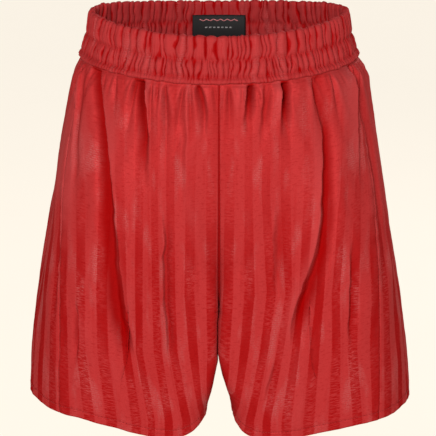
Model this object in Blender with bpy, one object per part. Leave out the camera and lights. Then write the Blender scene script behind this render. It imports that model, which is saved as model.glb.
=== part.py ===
"""Satin boxing shorts with a double-channel elastic waist, as they hang when worn.

Frame: metres, +Z up, origin at the centre of the waist opening, level with the top edge at
the hips.  The front faces -Y and the wearer's left is +X.

The outer cloth surface is one formula, cloth_point(alpha, z).  At each height the wearer's
left half of the garment is a superellipse run from the front of the body to the back.  Above
the hips it is half an oval that starts on the centre front seam.  Towards the crotch it
closes on itself, until below the crotch it is the whole oval of a leg.
"""

import math

import bpy
import numpy as np
from mathutils import Vector

# ---------------------------------------------------------------- driving dimensions, metres
WAISTBAND_HEIGHT = 0.046
UPPER_ROW_DROP = 0.022  # stitch row between the two elastic channels, below the top edge
LOWER_ROW_DROP = 0.040  # stitch row under the lower channel
BAND_BEND = 0.028  # below here the waistband flares out more
SADDLE = 0.009  # the waist dips this far at the front and back
HIP_Z = -0.060  # the crotch valley begins below here
CROTCH_Z = -0.285
HEM_OUTER_Z = -0.390  # the hem is cut higher at the outside of the leg
HEM_INNER_Z = -0.421
WAIST_HALF_WIDTH = 0.133
HEM_HALF_WIDTH = 0.197
WAIST_HALF_DEPTH = 0.102
HIP_HALF_DEPTH = 0.110
HEM_HALF_DEPTH = 0.100

CLOTH = 0.0016  # satin with its gathers
SEAM_GAP = 0.0006  # between the edges of two sewn panels
LAYER_GAP = 0.0005  # between a seam allowance and the cloth it lies on
SEAM_ALLOWANCE = 0.006
ALLOWANCE_GAP = 0.0014  # between the panels' inner side and the foot of the allowance
ALLOWANCE_THICKNESS = 0.0012
HEM_FOLD_HEIGHT = 0.010
HEM_FOLD_THICKNESS = 0.0010
THREAD_RADIUS = 0.00035
CASING_WALL = 0.0010
CASING_MIDDLE = -0.0014  # the fold's middle layer, behind the cloth's outer surface
PINCHED_HALF = 0.0014  # from the middle layer to a wall's outside along a stitch row
SWELL = 0.0010  # how much further out a wall stands over an elastic
# Up a wall from its foot: (drop, share of the swell).
CASING_STATIONS = (
    (WAISTBAND_HEIGHT, 0.0),
    (LOWER_ROW_DROP, 0.0),
    (LOWER_ROW_DROP - 0.002, 1.0),
    (UPPER_ROW_DROP + 0.002, 1.0),
    (UPPER_ROW_DROP, 0.0),
    (UPPER_ROW_DROP - 0.002, 1.0),
    (0.0035, 1.0),
)
ELASTIC_THICKNESS = 0.0012
UPPER_ELASTIC_WIDTH = 0.015
UPPER_ELASTIC_DROP = 0.0118
LOWER_ELASTIC_WIDTH = 0.012
LOWER_ELASTIC_DROP = 0.031
LABEL_WIDTH = 0.055
LABEL_HEIGHT = 0.034
LABEL_THICKNESS = 0.0006
LABEL_TOP_DROP = 0.013  # from the back top edge down to the line that the label is sewn along

RING_STEPS = 48
PANEL_ROWS = 16
FRONT_PANEL_STEPS = 13
BACK_PANEL_STEPS = 19
SEAM_STEPS = 14

# Outlines of the cloth by height: (z, value), straight between the points.
HALF_WIDTHS = (
    (0.000, WAIST_HALF_WIDTH),
    (-BAND_BEND, 0.137),
    (-0.048, 0.143),
    (-0.100, 0.153),
    (-0.200, 0.170),
    (-0.300, 0.186),
    (-0.350, 0.192),
    (-0.440, HEM_HALF_WIDTH),
)
HALF_DEPTHS = (
    (0.000, WAIST_HALF_DEPTH),
    (-0.048, 0.106),
    (-0.110, HIP_HALF_DEPTH),
    (-0.200, HIP_HALF_DEPTH),
    (-0.300, 0.104),
    (-0.440, HEM_HALF_DEPTH),
)
# Where the centre seam sits on the oval: 90 degrees is the front of the body, and 0 is the
# inside of the leg, which is reached at the crotch.
CENTRE_ANGLES = (
    (-0.048, 90.0),
    (-0.100, 86.0),
    (-0.160, 74.0),
    (-0.210, 58.0),
    (-0.250, 38.0),
    (-0.275, 18.0),
    (CROTCH_Z, 0.0),
)
# Half the gap between the two legs.
LEG_GAPS = (
    (CROTCH_Z, 0.0012),
    (-0.350, 0.0015),
    (-0.375, 0.0050),
    (-0.400, 0.0120),
    (-0.440, 0.0240),
)
# The side seam leans forward on its way down, because the back panels are the wider ones.
SIDE_SEAM_ANGLES = (
    (-0.048, 163.0),
    (-0.150, 150.0),
    (-0.300, 131.0),
    (-0.440, 120.0),
)

SATIN = ((0.57, 0.035, 0.035, 1.0), 0.42)
THREAD = ((0.50, 0.03, 0.03, 1.0), 0.6)
ELASTIC = ((0.75, 0.73, 0.68, 1.0), 0.8)
LABEL = ((0.012, 0.012, 0.013, 1.0), 0.45)


# ---------------------------------------------------------------- the cloth surface
def at_height(outline, z):
    """The outline's value at height z."""
    heights = [point[0] for point in reversed(outline)]
    values = [point[1] for point in reversed(outline)]
    return float(np.interp(z, heights, values))


def ease(t):
    t = min(max(t, 0.0), 1.0)
    return t * t * (3 - 2 * t)


def signed_power(value, power):
    return math.copysign(abs(value) ** power, value)


def squareness(z):
    """The superellipse's exponent: round at the waist, squarer down the legs."""
    return 2.0 + 0.5 * ease((HIP_Z - z) / 0.2)


def centre_angle(z):
    return math.radians(at_height(CENTRE_ANGLES, z)) if z > CROTCH_Z else 0.0


def cloth_point(alpha, z):
    """The outer surface of the wearer's left half at an angle round its oval and a height."""
    power = 2 / squareness(z)
    half_width = at_height(HALF_WIDTHS, z)
    if z > CROTCH_Z:
        share = math.cos(centre_angle(z)) ** power
        across = half_width / (1 + share)
        middle = across * share
    else:
        gap = at_height(LEG_GAPS, z)
        across = (half_width - gap) / 2
        middle = (half_width + gap) / 2
    x = middle - across * signed_power(math.cos(alpha), power)
    y = -at_height(HALF_DEPTHS, z) * signed_power(math.sin(alpha), power)
    return Vector((x, y, z))


def outward(alpha, z):
    """The unit normal of the cloth, found from two small steps over it."""
    step = 0.004
    along = cloth_point(alpha + step, z) - cloth_point(alpha - step, z)
    down = cloth_point(alpha, z - step / 4) - cloth_point(alpha, z + step / 4)
    return along.cross(down).normalized() * -1


def waist_dip(y):
    """How far the waist dips at a depth y: nothing at the hips, SADDLE at front and back."""
    return SADDLE * min(1.0, abs(y) / WAIST_HALF_DEPTH) ** 2


def hem_height(x):
    share = (abs(x) - 0.015) / (HEM_HALF_WIDTH - 0.015)
    return HEM_INNER_Z + (HEM_OUTER_Z - HEM_INNER_Z) * min(max(share, 0.0), 1.0)


def panel_point(front, across, down, lift=0.0, inset=0.0):
    """A point of a panel.  across runs from the centre edge, 0, to the side seam, 1, and
    down runs from the waist seam, 0, to the hem, 1.  lift moves it up from the hem, and
    inset moves it in from the cloth's outer surface."""
    top = -WAISTBAND_HEIGHT - SEAM_GAP
    z = top + (HEM_INNER_Z - top) * down
    for _ in range(8):  # the waist's dip and the hem's slant depend on where the point is
        alpha = panel_angle(front, across, z)
        point = cloth_point(alpha, z)
        high = top - waist_dip(point.y)
        low = hem_height(point.x) + lift
        z = high + (low - high) * down
    alpha = panel_angle(front, across, z)
    return cloth_point(alpha, z) - outward(alpha, z) * inset


def panel_angle(front, across, z):
    centre = centre_angle(z)
    seam = math.radians(at_height(SIDE_SEAM_ANGLES, z))
    if front:
        return centre + (seam - centre) * across
    return 2 * math.pi - centre + (seam - 2 * math.pi + centre) * across


# ---------------------------------------------------------------- building meshes
def material(name, finish):
    colour, roughness = finish
    made = bpy.data.materials.get(name) or bpy.data.materials.new(name)
    made.use_nodes = True
    shader = made.node_tree.nodes["Principled BSDF"]
    shader.inputs["Base Color"].default_value = colour
    shader.inputs["Roughness"].default_value = roughness
    shader.inputs["Metallic"].default_value = 0.0
    return made


def add_object(name, data, finish_name, finish):
    made = bpy.data.objects.new(name, data)
    bpy.context.scene.collection.objects.link(made)
    data.materials.append(material(finish_name, finish))
    return made


def grid_mesh(name, rows, closed=False, flip=False, ends=()):
    """A mesh through rows of points, each as long as the next.  closed joins a row's ends.
    ends are faces over the first row, and the last row gets the same ones turned round."""
    width = len(rows[0])
    points = [tuple(point) for row in rows for point in row]
    faces = []
    for i in range(len(rows) - 1):
        for j in range(width if closed else width - 1):
            after = (j + 1) % width
            face = (i * width + j, i * width + after, (i + 1) * width + after, (i + 1) * width + j)
            faces.append(face[::-1] if flip else face)
    last = (len(rows) - 1) * width
    faces += list(ends)
    faces += [tuple(last + corner for corner in reversed(face)) for face in ends]
    mesh = bpy.data.meshes.new(name)
    mesh.from_pydata(points, [], faces)
    mesh.validate()
    mesh.shade_smooth()
    return mesh


def thicken(obj, thickness, offset):
    """offset -1 thickens behind the faces, 0 on both sides of them and 1 in front."""
    solid = obj.modifiers.new("Thickness", "SOLIDIFY")
    solid.thickness = thickness
    solid.offset = offset
    solid.use_even_offset = False
    return obj


def thread(name, points, closed):
    """A sewing thread along points: a round curve, with its ends filled if it is open."""
    data = bpy.data.curves.new(name, "CURVE")
    data.dimensions = "3D"
    data.bevel_depth = THREAD_RADIUS
    data.bevel_resolution = 1
    data.use_fill_caps = not closed
    spline = data.splines.new("POLY")
    spline.points.add(len(points) - 1)
    for target, point in zip(spline.points, points):
        target.co = (*point, 1.0)
    spline.use_cyclic_u = closed
    return add_object(name, data, "thread", THREAD)


def mirror_x(point, side):
    return Vector((side * point[0], point[1], point[2]))


SIDES = (("left", 1), ("right", -1))


# ---------------------------------------------------------------- panels and their seams
def panel(name, side, front):
    """One cut piece of satin, from the centre edge to the side seam and the waist to the hem."""
    steps = FRONT_PANEL_STEPS if front else BACK_PANEL_STEPS
    edge = SEAM_GAP / 2 / 0.2  # the panel is about 0.2 wide
    rows = []
    for i in range(PANEL_ROWS + 1):
        row = []
        for j in range(steps + 1):
            across = edge + (1 - 2 * edge) * j / steps
            point = panel_point(front, across, i / PANEL_ROWS)
            point.x = max(point.x, SEAM_GAP / 2)
            row.append(mirror_x(point, side))
        rows.append(row)
    flip = (side > 0) == front
    obj = add_object(name, grid_mesh(name, rows, flip=flip), "satin", SATIN)
    return thicken(obj, CLOTH, -1)


def fin(name, path):
    """A seam allowance with its overlocked edge: a strip that stands in from the cloth.
    path holds pairs of a point on the cloth's outer surface and the direction inwards."""
    start = CLOTH + ALLOWANCE_GAP
    rows = []
    for point, inward in path:
        rows.append([point + inward * start, point + inward * (start + SEAM_ALLOWANCE)])
    obj = add_object(name, grid_mesh(name, rows), "thread", THREAD)
    return thicken(obj, ALLOWANCE_THICKNESS, 0)


def centre_seam(name, front):
    """The seam that joins left and right, from the waist down to the crotch."""
    top = -WAISTBAND_HEIGHT - SADDLE - 0.002
    bottom = CROTCH_Z + 0.002
    side = 1 if front else -1
    line = []
    for i in range(SEAM_STEPS + 1):
        z = top + (bottom - top) * i / SEAM_STEPS
        depth = abs(cloth_point(centre_angle(z), z).y)
        line.append(Vector((0, -side * depth, z)))
    path = []
    for i, point in enumerate(line):
        run = line[min(i + 1, SEAM_STEPS)] - line[max(i - 1, 0)]
        path.append((point, Vector((0, -side * run.z, side * run.y)).normalized()))
    return fin(name, path)


def side_seam(name, side):
    path = []
    for i in range(SEAM_STEPS + 1):
        down = 0.006 + (0.96 - 0.006) * i / SEAM_STEPS
        point = panel_point(True, 1.0, down)
        inward = -outward(panel_angle(True, 1.0, point.z), point.z)
        path.append((mirror_x(point, side), mirror_x(inward, side)))
    return fin(name, path)


def inseam(name, side):
    top = CROTCH_Z - 0.004
    bottom = HEM_INNER_Z + HEM_FOLD_HEIGHT + 0.003
    path = []
    for i in range(SEAM_STEPS + 1):
        z = top + (bottom - top) * i / SEAM_STEPS
        path.append((mirror_x(cloth_point(0.0, z), side), Vector((side, 0, 0))))
    return fin(name, path)


# ---------------------------------------------------------------- leg hems
def hem_ring(side, lift, inset):
    """Points round a leg opening, lift above the hem's edge and inset from the cloth.  They
    keep to the columns of the two panels, so that every layer has the same facets."""
    front = [j / FRONT_PANEL_STEPS for j in range(FRONT_PANEL_STEPS)]
    back = [1 - j / BACK_PANEL_STEPS for j in range(BACK_PANEL_STEPS)]
    ring = [panel_point(True, across, 1.0, lift, inset) for across in front]
    ring += [panel_point(False, across, 1.0, lift, inset) for across in back]
    return [mirror_x(point, side) for point in ring]


def hem_fold(name, side):
    """The hem allowance, turned up inside the leg."""
    inset = CLOTH + LAYER_GAP
    rows = [hem_ring(side, HEM_FOLD_HEIGHT * i / 2, inset) for i in range(3)]
    mesh = grid_mesh(name, rows, closed=True, flip=side < 0)
    obj = add_object(name, mesh, "satin", SATIN)
    return thicken(obj, HEM_FOLD_THICKNESS, -1)


def hem_stitch(name, side):
    clear = -(THREAD_RADIUS + LAYER_GAP)
    return thread(name, hem_ring(side, HEM_FOLD_HEIGHT * 0.8, clear), closed=True)


# ---------------------------------------------------------------- waistband
def waist_point(theta, drop, out):
    """A point of the waistband.  theta turns from +X through the back, +Y; drop is below the
    top edge there, and out is the distance out of the cloth's surface."""
    half_width = at_height(HALF_WIDTHS, -drop)
    half_depth = at_height(HALF_DEPTHS, -drop)
    normal = Vector((math.cos(theta) / half_width, math.sin(theta) / half_depth, 0)).normalized()
    point = Vector((half_width * math.cos(theta), half_depth * math.sin(theta), 0))
    point += normal * out
    point.z = -drop - SADDLE * math.sin(theta) ** 2
    return point


def casing_section():
    """The folded casing in section, as two chains of (out, drop) pairs that run over the fold
    from the outer wall's foot to the inner wall's foot: its outside and its cavity."""
    half = [(PINCHED_HALF + SWELL * share, drop) for drop, share in CASING_STATIONS]
    half.append((0.0012, 0.0))
    outside = [(CASING_MIDDLE + out, drop) for out, drop in half]
    outside += [(CASING_MIDDLE - out, drop) for out, drop in reversed(half)]
    hollow = [(out - CASING_WALL, drop) for out, drop in half[:-1]]
    hollow.append((0.0005, 0.0022))
    cavity = [(CASING_MIDDLE + out, drop) for out, drop in hollow]
    cavity += [(CASING_MIDDLE - out, drop) for out, drop in reversed(hollow)]
    return outside, cavity


def casing_half(name, start, end):
    """Half of the casing, swept from theta start to theta end with its two ends closed."""
    outside, cavity = casing_section()
    loop = outside + cavity[::-1]
    steps = RING_STEPS // 2
    trim = SEAM_GAP / 2 / WAIST_HALF_WIDTH * 1.1
    rows = []
    for i in range(steps + 1):
        theta = start + trim + (end - start - 2 * trim) * i / steps
        rows.append([waist_point(theta, drop, out) for out, drop in loop])
    last = len(loop) - 1
    ends = [(k, k + 1, last - k - 1, last - k) for k in range(len(outside) - 1)]
    mesh = grid_mesh(name, rows, closed=True, flip=True, ends=ends)
    return add_object(name, mesh, "satin", SATIN)


def elastic(name, drop, width):
    """A flat elastic sewn into a loop, lying in the middle of its channel."""
    rows = []
    for share in (-0.5, 0.5):
        ring = []
        for j in range(RING_STEPS):
            theta = 2 * math.pi * j / RING_STEPS
            ring.append(waist_point(theta, drop + share * width, CASING_MIDDLE))
        rows.append(ring)
    obj = add_object(name, grid_mesh(name, rows, closed=True), "elastic", ELASTIC)
    return thicken(obj, ELASTIC_THICKNESS, 0)


def waist_stitch(name, drop):
    clear = THREAD_RADIUS + LAYER_GAP
    thetas = [2 * math.pi * j / RING_STEPS for j in range(RING_STEPS)]
    return thread(name, [waist_point(theta, drop, clear) for theta in thetas], closed=True)


# ---------------------------------------------------------------- size label
def label_hinge():
    """The middle of the line that the label is sewn along, inside the back of the waist."""
    surface = waist_point(math.pi / 2, LABEL_TOP_DROP, CASING_MIDDLE - PINCHED_HALF - SWELL)
    return Vector((0, surface.y - 0.0034, surface.z))


def size_label():
    """A woven label that hangs from its top edge, which is its hinge line."""
    half = LABEL_WIDTH / 2
    rows = [[Vector((x, 0, z)) for x in (-half, half)] for z in (0.0, -LABEL_HEIGHT)]
    obj = add_object("size_label", grid_mesh("size_label", rows), "label", LABEL)
    obj.location = label_hinge()
    return thicken(obj, LABEL_THICKNESS, 0)


def label_stitch():
    hinge = label_hinge()
    rise = 0.0012
    half = LABEL_WIDTH / 2 - 0.001
    ends = [hinge + Vector((x, 0, rise)) for x in (-half, 0.0, half)]
    return thread("label_stitch", ends, closed=False)


# ---------------------------------------------------------------- the whole garment
def build():
    for obj in list(bpy.data.objects):
        bpy.data.objects.remove(obj)
    for word, side in SIDES:
        panel(f"{word}_front_panel", side, front=True)
        panel(f"{word}_back_panel", side, front=False)
        side_seam(f"{word}_side_seam", side)
        inseam(f"{word}_inseam", side)
        hem_fold(f"{word}_hem_fold", side)
        hem_stitch(f"{word}_hem_stitch", side)
    centre_seam("centre_front_seam", front=True)
    centre_seam("centre_back_seam", front=False)
    casing_half("waistband_back", 0.0, math.pi)
    casing_half("waistband_front", math.pi, 2 * math.pi)
    elastic("upper_elastic", UPPER_ELASTIC_DROP, UPPER_ELASTIC_WIDTH)
    elastic("lower_elastic", LOWER_ELASTIC_DROP, LOWER_ELASTIC_WIDTH)
    waist_stitch("upper_channel_stitch", UPPER_ROW_DROP)
    waist_stitch("lower_channel_stitch", LOWER_ROW_DROP)
    waist_stitch("waist_seam_stitch", WAISTBAND_HEIGHT - 0.001)
    size_label()
    label_stitch()


build()
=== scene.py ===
"""Satin boxing shorts: the looks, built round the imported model.

Every cloth piece is worked out from one surface, the hanging garment: nearly the part's own
outline, with folds and gathers laid over it.  Units are metres, the front faces -Y, and left
and right are the wearer's.  Left is +X.
"""

import bpy
import numpy as np
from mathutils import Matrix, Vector


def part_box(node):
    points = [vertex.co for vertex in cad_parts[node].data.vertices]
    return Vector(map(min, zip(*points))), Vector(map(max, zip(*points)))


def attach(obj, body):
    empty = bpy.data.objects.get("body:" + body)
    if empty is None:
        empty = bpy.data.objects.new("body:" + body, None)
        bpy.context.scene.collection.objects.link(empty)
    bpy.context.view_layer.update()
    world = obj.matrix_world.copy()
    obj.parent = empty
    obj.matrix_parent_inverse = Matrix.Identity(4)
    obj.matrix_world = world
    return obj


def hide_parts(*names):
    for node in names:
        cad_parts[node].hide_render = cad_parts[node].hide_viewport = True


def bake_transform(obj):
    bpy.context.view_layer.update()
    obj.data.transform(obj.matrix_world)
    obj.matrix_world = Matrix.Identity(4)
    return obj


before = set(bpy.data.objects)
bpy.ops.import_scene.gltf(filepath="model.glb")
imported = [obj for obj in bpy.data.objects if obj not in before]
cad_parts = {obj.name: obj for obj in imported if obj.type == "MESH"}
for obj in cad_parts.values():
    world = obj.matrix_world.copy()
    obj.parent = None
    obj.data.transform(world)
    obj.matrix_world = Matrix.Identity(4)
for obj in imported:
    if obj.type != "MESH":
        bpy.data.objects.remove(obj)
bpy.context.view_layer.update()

# -------- dimensions, as in the part.  The waist's rows are drops from its top.
WAISTBAND_HEIGHT = 0.046
UPPER_ROW = 0.022
SADDLE = 0.009
HIP_Z = -0.06
CROTCH_Z = -0.285
WAIST_HALF_WIDTH = 0.133
WAIST_HALF_DEPTH = 0.102
HEM_FOLD_HEIGHT = 0.01
CASING_MIDDLE = -0.0014
SEAM_ALLOWANCE = 0.006

# By height, as (z, value).  The seams' places on the oval are in degrees.
HALF_WIDTHS = (
    (0.0, 0.133), (-0.028, 0.137), (-0.048, 0.143), (-0.1, 0.153),
    (-0.2, 0.17), (-0.3, 0.186), (-0.35, 0.192), (-0.44, 0.197),
)
HALF_DEPTHS = (
    (0.0, 0.102), (-0.048, 0.106), (-0.11, 0.11),
    (-0.2, 0.11), (-0.3, 0.104), (-0.44, 0.1),
)
CENTRE_ANGLES = (
    (-0.048, 90), (-0.1, 86), (-0.16, 74), (-0.21, 58),
    (-0.25, 38), (-0.275, 18), (CROTCH_Z, 0),
)
SIDE_SEAM_ANGLES = ((-0.048, 163), (-0.15, 150), (-0.3, 131), (-0.44, 120))

# -------- dimensions of the cloth itself
LOWER_ROW = 0.0388
CASING_FOOT = 0.0455
WAIST_SEAM = 0.0462
PANEL_TOP = 0.0425  # the panels start inside the casing's foot
HEM_LOWEST_Z = -0.422
STITCH_ABOVE_HEM = 0.008
STITCH_LENGTH = 0.0032
CLOTH = 0.0005  # thickness
STRIPE_PERIOD = 0.0235
# Half the gap between the legs, which lie together for a way below the crotch.
LEG_GAPS = (
    (CROTCH_Z, 0.0001), (-0.328, 0.0001), (-0.334, 0.0003), (-0.347, 0.0026), (-0.359, 0.0048),
    (-0.376, 0.0085), (-0.388, 0.0114), (-0.4, 0.0136), (-0.44, 0.019),
)

# -------- how finely the cloth is cut up
FRONT_COLUMNS = 200
BACK_COLUMNS = 230
INNER_COLUMNS = 36  # of each panel's columns, those on the wall between the legs
INNER_EDGE = 0.006  # how far out from the innermost point that wall starts
# Rows, as shares of the way from a panel's top to its hem, are closer at both ends.
LEVELS = np.concatenate([
    np.linspace(0.0, 0.035, 12, endpoint=False),
    np.linspace(0.035, 0.95, 150, endpoint=False),
    np.linspace(0.95, 1.0, 22),
])
ROWS = len(LEVELS)
RUCHE_COLUMNS = 1560

# -------- folds, hems and stripes
FOLD_SHADE_DEPTH = 0.0085  # a valley this deep has its full shade

# Folds as ((x, z) points along the bottom of the valley, depth, width, ridge, weight at the top,
# rise, fall).  Over the width, towards the middle of the garment, a wall climbs to a sharp ridge,
# whose height is a share of the depth.  A negative width puts the wall on the other side.
LEFT_FRONT_FOLDS = (
    (((0.096, -0.05), (0.0995, -0.076), (0.1043, -0.099), (0.1063, -0.131), (0.1063, -0.161),
      (0.1043, -0.191), (0.0995, -0.219), (0.0928, -0.243), (0.086, -0.264), (0.079, -0.289),
      (0.075, -0.33)),
     0.0096, 0.0074, 0.26, 0.48, 0.13, 0.06),
    (((0.03, -0.05), (0.029, -0.061), (0.0262, -0.11)), 0.0085, 0.004, 0.4, 0.9, 0.01, 0.055),
    (((0.063, -0.05), (0.063, -0.115)), 0.008, 0.004, 0.4, 0.9, 0.01, 0.062),
    (((0.131, -0.05), (0.1333, -0.064), (0.1365, -0.105), (0.14, -0.17)),
     0.008, 0.0044, 0.4, 0.8, 0.02, 0.1),
    (((0.131, -0.205), (0.131, -0.27), (0.131, -0.33)), 0.005, 0.0042, 0.3, 0, 0.04, 0.05),
    (((0.058, -0.16), (0.058, -0.3)), 0.003, 0.005, 0.2, 0, 0.05, 0.07),
    (((0.146, -0.1), (0.168, -0.26)), 0.003, -0.006, 0.2, 0, 0.05, 0.09),
    (((0.044, -0.06), (0.042, -0.12)), 0.0032, 0.0034, 0.3, 0.6, 0.02, 0.05),
    (((0.06, -0.32), (0.045, -0.385)), 0.0028, 0.004, 0.5, 0, 0.03, 0.03),
)
RIGHT_FRONT_FOLDS = (
    (((0.121, -0.05), (0.116, -0.087), (0.113, -0.12), (0.111, -0.154), (0.108, -0.189),
      (0.1043, -0.223), (0.1025, -0.253), (0.0976, -0.289), (0.0928, -0.305), (0.089, -0.345)),
     0.0096, 0.0074, 0.26, 0.8, 0.06, 0.05),
    (((0.0754, -0.05), (0.0736, -0.074), (0.073, -0.095), (0.0736, -0.165)),
     0.0094, 0.0048, 0.35, 0.9, 0.01, 0.085),
    (((0.052, -0.17), (0.0515, -0.26), (0.049, -0.345)), 0.0036, -0.003, 0.9, 0, 0.05, 0.05),
    (((0.0195, -0.05), (0.0155, -0.07), (0.012, -0.12)), 0.005, 0.0034, 0.3, 0.9, 0.01, 0.06),
    (((0.135, -0.05), (0.142, -0.2)), 0.0036, -0.0045, 0.3, 0.5, 0.03, 0.1),
    (((0.141, -0.27), (0.1415, -0.345)), 0.0045, 0.003, 0.6, 0, 0.03, 0.04),
    (((0.034, -0.06), (0.037, -0.2)), 0.0026, 0.004, 0.3, 0.5, 0.04, 0.09),
    (((0.152, -0.15), (0.17, -0.33)), 0.003, 0.006, 0.2, 0, 0.06, 0.08),
)
LEFT_BACK_FOLDS = (
    (((0.026, -0.05), (0.031, -0.14), (0.045, -0.26)), 0.006, 0.0075, 0.4, 0.7, 0.03, 0.11),
    (((0.06, -0.05), (0.064, -0.16), (0.066, -0.37)), 0.0075, 0.0085, 0.4, 0.7, 0.03, 0.14),
    (((0.092, -0.05), (0.101, -0.2)), 0.005, -0.006, 0.3, 0.8, 0.02, 0.12),
    (((0.118, -0.05), (0.13, -0.16), (0.137, -0.34)), 0.008, -0.009, 0.4, 0.5, 0.05, 0.12),
    (((0.1, -0.2), (0.104, -0.29), (0.098, -0.39)), 0.005, 0.008, 0.3, 0, 0.07, 0.08),
)
RIGHT_BACK_FOLDS = (
    (((0.034, -0.05), (0.038, -0.18)), 0.0055, -0.0065, 0.3, 0.8, 0.02, 0.11),
    (((0.068, -0.05), (0.073, -0.17), (0.066, -0.33)), 0.008, 0.009, 0.4, 0.6, 0.04, 0.13),
    (((0.103, -0.05), (0.113, -0.16), (0.118, -0.37)), 0.0075, 0.0085, 0.4, 0.6, 0.04, 0.13),
    (((0.128, -0.05), (0.145, -0.18)), 0.005, -0.0065, 0.3, 0.7, 0.03, 0.11),
    (((0.05, -0.25), (0.046, -0.33), (0.042, -0.4)), 0.004, -0.006, 0.3, 0, 0.06, 0.07),
)

# The hem, as (distance from the middle, height).
LEFT_HEM = (
    (0, -0.4), (0.014, -0.402), (0.024, -0.4105), (0.038, -0.4165), (0.06, -0.4165),
    (0.11, -0.4075), (0.15, -0.4005), (0.18, -0.397), (0.2, -0.3925),
)
RIGHT_HEM = (
    (0, -0.398), (0.014, -0.3995), (0.024, -0.4085), (0.04, -0.4145), (0.062, -0.4145),
    (0.107, -0.403), (0.14, -0.3945), (0.175, -0.3905), (0.2, -0.384),
)

# Millimetres from the middle to each dark stripe on the front, at these heights.
STRIPE_HEIGHTS = (-0.056, -0.161, -0.264, -0.325, -0.397)
LEFT_STRIPES = (
    (10, 11, 9, 6, 8),
    (28, 29, 30, 25, 15),
    (46, 45, 52, 45, 32),
    (64, 64, 69, 60, 47),
    (85, 88, 81, 75, 67),
    (104, 106, 100, 94, 89),
    (122, 122, 114, 117, 115),
    (137, 136, 133, 131, 139),
)
RIGHT_STRIPES = (
    (6, 8, 7, 7, 14),
    (23, 28, 30, 25, 17),
    (45, 48, 47, 46, 33),
    (61, 63, 62, 60, 50),
    (77, 77, 79, 80, 68),
    (96, 96, 94, 90, 81),
    (115, 113, 116, 115, 108),
    (133, 136, 136, 137, 128),
)


# -------- small maths
def smooth(t):
    t = np.clip(t, 0.0, 1.0)
    return t * t * (3 - 2 * t)


def curve_through(points):
    """A smooth function through (place, value) points."""
    z, v = np.array(sorted(points)).T
    slope = np.gradient(v, z)

    def value(at):
        at = np.clip(at, z[0], z[-1])
        k = np.clip(np.searchsorted(z, at) - 1, 0, len(z) - 2)
        span = z[k + 1] - z[k]
        t = (at - z[k]) / span
        rise = v[k + 1] - v[k]
        a = slope[k] * span - rise
        b = rise - slope[k + 1] * span
        return v[k] + rise * t + t * (1 - t) * (a * (1 - t) + b * t)

    return value


def signed_power(value, power):
    return np.sign(value) * np.abs(value) ** power


def length_of(vectors):
    return np.linalg.norm(vectors, axis=-1)


def unit(vectors):
    return vectors / np.maximum(length_of(vectors)[..., None], 1e-12)


def run_along(points, axis=0):
    """How far each point lies along its line of points, which runs down that axis."""
    steps = length_of(np.diff(points, axis=axis))
    start = np.zeros_like(np.take(steps, [0], axis))
    return np.concatenate([start, np.cumsum(steps, axis=axis)], axis=axis)


def cross_of(grid):
    """The normal at each point of a grid, as long as a cell's area."""
    return np.cross(np.gradient(grid, axis=0), np.gradient(grid, axis=1))


def bell(distance, width):
    return np.exp(-((distance / width) ** 2))


def noise(u, v, cell_u, cell_v, seed):
    """Smooth random relief with bumps about one cell across, from -1 to 1."""
    rng = np.random.default_rng(seed)
    size = 64
    table = rng.uniform(-1, 1, (size, size))
    a, b = u / cell_u, v / cell_v
    i, j = np.floor(a).astype(int), np.floor(b).astype(int)
    s, t = smooth(a - i), smooth(b - j)
    i0, i1, j0, j1 = i % size, (i + 1) % size, j % size, (j + 1) % size
    low = table[i0, j0] * (1 - s) + table[i1, j0] * s
    high = table[i0, j1] * (1 - s) + table[i1, j1] * s
    return low * (1 - t) + high * t


# -------- the hanging surface
half_width = curve_through(HALF_WIDTHS)
half_depth = curve_through(HALF_DEPTHS)
leg_gap = curve_through(LEG_GAPS)
side_seam_angle = curve_through(SIDE_SEAM_ANGLES)
raw_centre_angle = curve_through(CENTRE_ANGLES)


def centre_angle(z):
    return np.radians(np.where(z > CROTCH_Z, np.maximum(raw_centre_angle(z), 0.0), 0.0))


def oval_at(z):
    """(outer power, inner power, middle, across) of the oval at height z.  Below the hips the
    cloth hangs fuller than an ellipse, more so on the inner side of the leg, and most of all
    near the crotch, where the legs press together."""
    fall = smooth((HIP_Z - z) / 0.2)
    outer = 2 / (2.0 + 0.5 * fall)
    full = 3.4 * fall
    full = full + 18.0 * smooth((-0.235 - z) / 0.06) * (1 - 0.93 * smooth((-0.33 - z) / 0.06))
    inner = 2 / (2.0 + full)
    share = np.cos(centre_angle(z)) ** inner
    above = z > CROTCH_Z
    gap = leg_gap(z)
    across = np.where(above, half_width(z) / (1 + share), (half_width(z) - gap) / 2)
    middle = np.where(above, across * share, (half_width(z) + gap) / 2)
    return outer, inner, middle, across


def hull_point(alpha, z):
    outer, inner, middle, across = oval_at(z)
    power = np.where(np.cos(alpha) > 0, inner, outer)
    x = middle - across * signed_power(np.cos(alpha), power)
    y = -half_depth(z) * signed_power(np.sin(alpha), power)
    return np.stack([x, y, z], -1)


def bearing_at(x, z):
    """The direction from the oval's middle of the front point at x on its inner side."""
    _, inner, middle, across = oval_at(z)
    share = np.clip((middle - x) / across, 0, 1)
    return np.arctan2((1 - share ** (2 / inner)) ** (inner / 2), share)


def bearing(alpha, z, back_again=False):
    """The direction from the oval's middle of the point at alpha or, back again, its alpha.
    Even steps in direction give even steps along the oval."""
    outer, inner, _, _ = oval_at(z)
    power = np.where(np.cos(alpha) > 0, inner, outer)
    power = 1 / power if back_again else power
    found = np.arctan2(signed_power(np.sin(alpha), power), signed_power(np.cos(alpha), power))
    return found % (2 * np.pi)


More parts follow.
